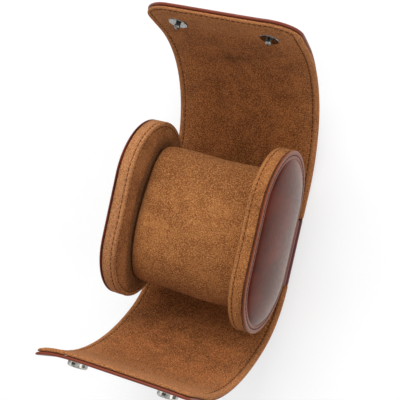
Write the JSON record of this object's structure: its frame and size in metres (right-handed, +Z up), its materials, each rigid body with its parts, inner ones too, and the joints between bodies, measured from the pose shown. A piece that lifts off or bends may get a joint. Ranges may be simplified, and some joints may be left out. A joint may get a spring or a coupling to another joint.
{
  "type": "watch travel case",
  "caption": "Padded leather wrap with suede lining, two hinged end caps on leather necks, a lift-out pillow and two ball snaps, lying open.",
  "frame": {"origin": "on the surface that the case lies on, in the wrap's middle plane, level with the middle of the end caps", "axes": "+X across the wrap to the right end cap, +Y along the wrap towards the flap with the studs, +Z up into the case"},
  "size_m": [0.0728, 0.1529, 0.0904],
  "materials": {
    "leather": "semi-gloss dark red-brown smooth leather",
    "suede": "matt brushed suede, tan brown",
    "foam": "matt polyester foam, hidden",
    "core": "matt dense foam board, hidden",
    "snap_dark": "polished gunmetal",
    "snap_bright": "polished nickel"
  },
  "bodies": {
    "spine": {"spine_leather": "leather", "spine_foam": "foam", "spine_lining": "suede", "left_neck_base": "leather", "right_neck_base": "leather"},
    "upper_1": {"upper_leather_1": "leather", "upper_foam_1": "foam", "upper_lining_1": "suede"},
    "upper_2": {"upper_leather_2": "leather", "upper_foam_2": "foam", "upper_lining_2": "suede"},
    "upper_3": {"upper_leather_3": "leather", "upper_foam_3": "foam", "upper_lining_3": "suede"},
    "upper_4": {"upper_leather_4": "leather", "upper_foam_4": "foam", "upper_lining_4": "suede"},
    "upper_5": {"upper_leather_5": "leather", "upper_foam_5": "foam", "upper_lining_5": "suede", "snap_stud_left": "snap_dark", "snap_stud_right": "snap_dark", "stud_rivets": "snap_dark"},
    "lower_1": {"lower_leather_1": "leather", "lower_foam_1": "foam", "lower_lining_1": "suede"},
    "lower_2": {"lower_leather_2": "leather", "lower_foam_2": "foam", "lower_lining_2": "suede"},
    "lower_3": {"lower_leather_3": "leather", "lower_foam_3": "foam", "lower_lining_3": "suede"},
    "lower_4": {"lower_leather_4": "leather", "lower_foam_4": "foam", "lower_lining_4": "suede"},
    "lower_5": {"lower_leather_5": "leather", "lower_foam_5": "foam", "lower_lining_5": "suede", "snap_socket_left": "snap_bright", "snap_socket_right": "snap_bright", "socket_springs": "snap_bright", "socket_rivets": "snap_bright"},
    "left_cap": {"left_cap_face": "leather", "left_cap_pad": "foam", "left_cap_core": "core", "left_cap_band": "suede", "left_cap_lining": "suede", "left_neck_tab": "leather"},
    "right_cap": {"right_cap_face": "leather", "right_cap_pad": "foam", "right_cap_core": "core", "right_cap_band": "suede", "right_cap_lining": "suede", "right_neck_tab": "leather"},
    "pillow": {"pillow_cover": "suede", "pillow_foam": "foam", "pillow_end_left": "suede", "pillow_end_right": "suede"}
  },
  "joints": [
    {"name": "upper_fold_1", "type": "hinge", "parent": "spine", "child": "upper_1", "pos_m": [0, 0.012, 0.003], "axis": [1, 0, 0], "range_deg": [-5, 24.56]},
    {"name": "upper_fold_2", "type": "hinge", "parent": "upper_1", "child": "upper_2", "pos_m": [0, 0.03466, 0.00459], "axis": [1, 0, 0], "range_deg": [-2.97, 14.57]},
    {"name": "upper_fold_3", "type": "hinge", "parent": "upper_2", "child": "upper_3", "pos_m": [0, 0.05531, 0.01389], "axis": [1, 0, 0], "range_deg": [-6.13, 30.08]},
    {"name": "upper_fold_4", "type": "hinge", "parent": "upper_3", "child": "upper_4", "pos_m": [0, 0.07099, 0.03023], "axis": [1, 0, 0], "range_deg": [-2.35, 11.5]},
    {"name": "upper_fold_5", "type": "hinge", "parent": "upper_4", "child": "upper_5", "pos_m": [0, 0.07951, 0.05123], "axis": [1, 0, 0], "range_deg": [-3.16, 15.47]},
    {"name": "lower_fold_1", "type": "hinge", "parent": "spine", "child": "lower_1", "pos_m": [0, -0.022, 0.003], "axis": [-1, 0, 0], "range_deg": [-5, 24]},
    {"name": "lower_fold_2", "type": "hinge", "parent": "lower_1", "child": "lower_2", "pos_m": [0, -0.04186, 0.00991], "axis": [-1, 0, 0], "range_deg": [-0.43, 2.01]},
    {"name": "lower_fold_3", "type": "hinge", "parent": "lower_2", "child": "lower_3", "pos_m": [0, -0.05444, 0.02706], "axis": [-1, 0, 0], "range_deg": [-4.27, 20.46]},
    {"name": "lower_fold_4", "type": "hinge", "parent": "lower_3", "child": "lower_4", "pos_m": [0, -0.06099, 0.04738], "axis": [-1, 0, 0], "range_deg": [-5.95, 28.54]},
    {"name": "lower_fold_5", "type": "hinge", "parent": "lower_4", "child": "lower_5", "pos_m": [0, -0.06147, 0.06873], "axis": [-1, 0, 0], "range_deg": [-2.27, 10.84]},
    {"name": "left_cap_hinge", "type": "hinge", "parent": "spine", "child": "left_cap", "pos_m": [-0.0342, -0.0055, 0.0058], "axis": [0, -1, 0], "range_deg": [0, 90]},
    {"name": "right_cap_hinge", "type": "hinge", "parent": "spine", "child": "right_cap", "pos_m": [0.0342, -0.0055, 0.0058], "axis": [0, 1, 0], "range_deg": [0, 90]},
    {"name": "pillow_slide", "type": "slide", "parent": "spine", "child": "pillow", "axis": [0, 0, 1], "range_m": [0, 0.11]}
  ],
  "couplings": [
    {"joint": "upper_fold_2", "follows": "upper_fold_1", "ratio": 0.59283},
    {"joint": "upper_fold_3", "follows": "upper_fold_1", "ratio": 1.2243},
    {"joint": "upper_fold_4", "follows": "upper_fold_1", "ratio": 0.46783},
    {"joint": "upper_fold_5", "follows": "upper_fold_1", "ratio": 0.62948},
    {"joint": "lower_fold_2", "follows": "lower_fold_1", "ratio": 0.083333},
    {"joint": "lower_fold_3", "follows": "lower_fold_1", "ratio": 0.85208},
    {"joint": "lower_fold_4", "follows": "lower_fold_1", "ratio": 1.1887},
    {"joint": "lower_fold_5", "follows": "lower_fold_1", "ratio": 0.45125}
  ]
}
